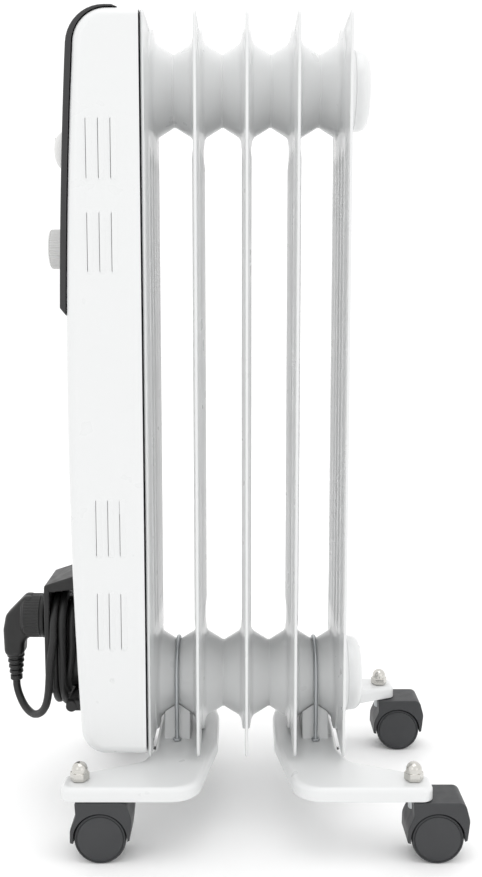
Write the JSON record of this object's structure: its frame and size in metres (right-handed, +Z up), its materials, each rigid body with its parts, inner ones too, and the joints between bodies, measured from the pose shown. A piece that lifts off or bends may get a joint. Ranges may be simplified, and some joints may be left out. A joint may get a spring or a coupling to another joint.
{
  "type": "oil filled radiator heater",
  "caption": "Free-standing oil filled radiator heater: ribbed steel fins on hubs, a control housing with knobs, wound mains lead, and two stamped feet on twin-wheel casters.",
  "frame": {"origin": "on the floor, below the centre of the object's box, which is the middle fin's plane", "axes": "+Z up, +X along the row of fins away from the control housing, +Y across the fins"},
  "size_m": [0.3783, 0.2432, 0.646],
  "materials": {
    "white_paint": "gloss",
    "anthracite_plastic": "satin",
    "grey_plastic": "satin",
    "black_plastic": "satin",
    "caster_plastic": "satin",
    "cord_sheath": "matte",
    "zinc": "zinc plated",
    "chrome": "polished",
    "element_tube": "dull",
    "brass": "turned",
    "insulator": "moulded"
  },
  "bodies": {
    "heater": {"fin_1": "white_paint", "fin_2": "white_paint", "fin_3": "white_paint", "fin_4": "white_paint", "fin_5": "white_paint", "hub_cap_upper": "white_paint", "hub_cap_lower": "white_paint", "heating_element_low": "element_tube", "heating_element_high": "element_tube", "element_flange": "brass", "housing_shell": "white_paint", "back_plate": "zinc", "control_panel": "anthracite_plastic", "selector_switch": "insulator", "thermostat": "zinc", "terminal_block": "insulator", "tip_over_switch": "black_plastic", "thermal_cutout": "insulator", "cord_holder": "black_plastic", "cord_gland": "black_plastic", "cord_first_turn": "cord_sheath", "cord_winding": "cord_sheath", "cord_lead": "cord_sheath", "plug_body": "black_plastic", "plug_pin_1": "chrome", "plug_pin_2": "chrome", "foot_left": "white_paint", "foot_right": "white_paint", "u_bolt_left": "chrome", "u_bolt_right": "chrome", "wing_nut_1": "zinc", "wing_nut_2": "zinc", "wing_nut_3": "zinc", "wing_nut_4": "zinc", "caster_stem_front_left": "zinc", "caster_stem_front_right": "zinc", "caster_stem_rear_left": "zinc", "caster_stem_rear_right": "zinc", "dome_nut_front_left": "chrome", "dome_nut_front_right": "chrome", "dome_nut_rear_left": "chrome", "dome_nut_rear_right": "chrome"},
    "selector": {"knob_selector": "grey_plastic"},
    "temperature_dial": {"knob_thermostat": "grey_plastic"},
    "caster_front_left": {"caster_hood_front_left": "caster_plastic"},
    "caster_front_right": {"caster_hood_front_right": "caster_plastic"},
    "caster_rear_left": {"caster_hood_rear_left": "caster_plastic"},
    "caster_rear_right": {"caster_hood_rear_right": "caster_plastic"},
    "wheels_front_left": {"caster_axle_front_left": "zinc", "wheel_front_left_a": "caster_plastic", "wheel_front_left_b": "caster_plastic"},
    "wheels_front_right": {"caster_axle_front_right": "zinc", "wheel_front_right_a": "caster_plastic", "wheel_front_right_b": "caster_plastic"},
    "wheels_rear_left": {"caster_axle_rear_left": "zinc", "wheel_rear_left_a": "caster_plastic", "wheel_rear_left_b": "caster_plastic"},
    "wheels_rear_right": {"caster_axle_rear_right": "zinc", "wheel_rear_right_a": "caster_plastic", "wheel_rear_right_b": "caster_plastic"}
  },
  "joints": [
    {"name": "selector_turn", "type": "hinge", "parent": "heater", "child": "selector", "pos_m": [-0.15, 0, 0.551], "axis": [-1, 0, 0], "range_deg": [-270, 0]},
    {"name": "temperature_turn", "type": "hinge", "parent": "heater", "child": "temperature_dial", "pos_m": [-0.15, 0, 0.472], "axis": [-1, 0, 0], "range_deg": [-300, 0]},
    {"name": "swivel_front_left", "type": "hinge", "parent": "heater", "child": "caster_front_left", "pos_m": [-0.1295, -0.105, 0.045], "axis": [0, 0, 1], "continuous": true},
    {"name": "swivel_front_right", "type": "hinge", "parent": "heater", "child": "caster_front_right", "pos_m": [0.1295, -0.105, 0.045], "axis": [0, 0, 1], "continuous": true},
    {"name": "swivel_rear_left", "type": "hinge", "parent": "heater", "child": "caster_rear_left", "pos_m": [-0.1295, 0.105, 0.045], "axis": [0, 0, 1], "continuous": true},
    {"name": "swivel_rear_right", "type": "hinge", "parent": "heater", "child": "caster_rear_right", "pos_m": [0.1295, 0.105, 0.045], "axis": [0, 0, 1], "continuous": true},
    {"name": "roll_front_left", "type": "hinge", "parent": "caster_front_left", "child": "wheels_front_left", "pos_m": [-0.1125, -0.105, 0.02], "axis": [0, 1, 0], "continuous": true},
    {"name": "roll_front_right", "type": "hinge", "parent": "caster_front_right", "child": "wheels_front_right", "pos_m": [0.1465, -0.105, 0.02], "axis": [0, 1, 0], "continuous": true},
    {"name": "roll_rear_left", "type": "hinge", "parent": "caster_rear_left", "child": "wheels_rear_left", "pos_m": [-0.1125, 0.105, 0.02], "axis": [0, 1, 0], "continuous": true},
    {"name": "roll_rear_right", "type": "hinge", "parent": "caster_rear_right", "child": "wheels_rear_right", "pos_m": [0.1465, 0.105, 0.02], "axis": [0, 1, 0], "continuous": true}
  ]
}
